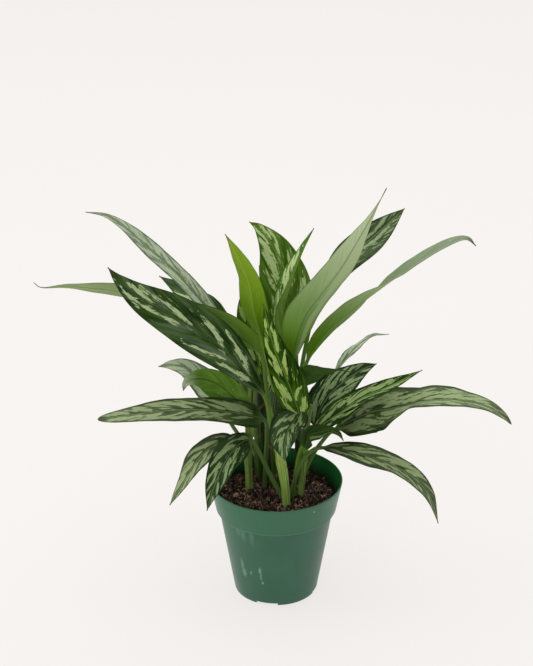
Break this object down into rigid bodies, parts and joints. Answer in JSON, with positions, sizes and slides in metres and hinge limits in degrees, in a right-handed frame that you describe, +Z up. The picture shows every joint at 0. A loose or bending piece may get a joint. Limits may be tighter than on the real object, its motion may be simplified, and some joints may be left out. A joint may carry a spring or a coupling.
{
  "type": "potted chinese evergreen",
  "caption": "Potted house plant: a clump of short canes with long pointed silver-mottled leaves, standing in soil in a plain green nursery pot with a deep rim band.",
  "frame": {"origin": "centre of the pot's flat underside", "axes": "+Z up, -Y towards the viewer of the picture, +X to the viewer's right"},
  "size_m": [0.5299, 0.3091, 0.5404],
  "materials": {
    "pot_plastic": "satin",
    "soil": "matte",
    "stem": "satin",
    "leaf": "satin",
    "young_leaf": "satin"
  },
  "bodies": {
    "root": {"pot": "pot_plastic", "soil": "soil", "cane_front": "stem", "cane_right": "stem", "cane_left": "stem", "cane_middle": "stem", "cane_back_left": "stem", "cane_back_right": "stem", "leaf_left_broad": "leaf", "leaf_left_high": "leaf", "leaf_left_level": "leaf", "leaf_left_hidden": "leaf", "leaf_up_left_green": "young_leaf", "leaf_up_left_back": "leaf", "leaf_up_back_broad": "young_leaf", "leaf_up_back_dark": "leaf", "leaf_up_centre_folded": "young_leaf", "leaf_up_right_green": "leaf", "leaf_up_right_back": "leaf", "leaf_right_long": "leaf", "leaf_right_thin": "leaf", "leaf_right_arched_dark": "leaf", "leaf_right_back_silver": "leaf", "leaf_right_bright": "young_leaf", "leaf_right_drooping": "leaf", "leaf_right_small": "young_leaf", "leaf_right_low": "leaf", "leaf_front_upright": "young_leaf", "leaf_front_small": "leaf", "leaf_left_low_outer": "leaf", "leaf_left_low_inner": "leaf", "leaf_left_mid_silver": "leaf", "leaf_left_curl_silver": "leaf", "leaf_left_curl_green": "leaf", "leaf_back_high": "leaf", "leaf_back_middle": "leaf", "leaf_back_left": "leaf", "leaf_back_right": "leaf", "leaf_back_low_left": "leaf", "leaf_back_low_right": "leaf", "leaf_back_low_middle": "leaf"}
  },
  "joints": []
}
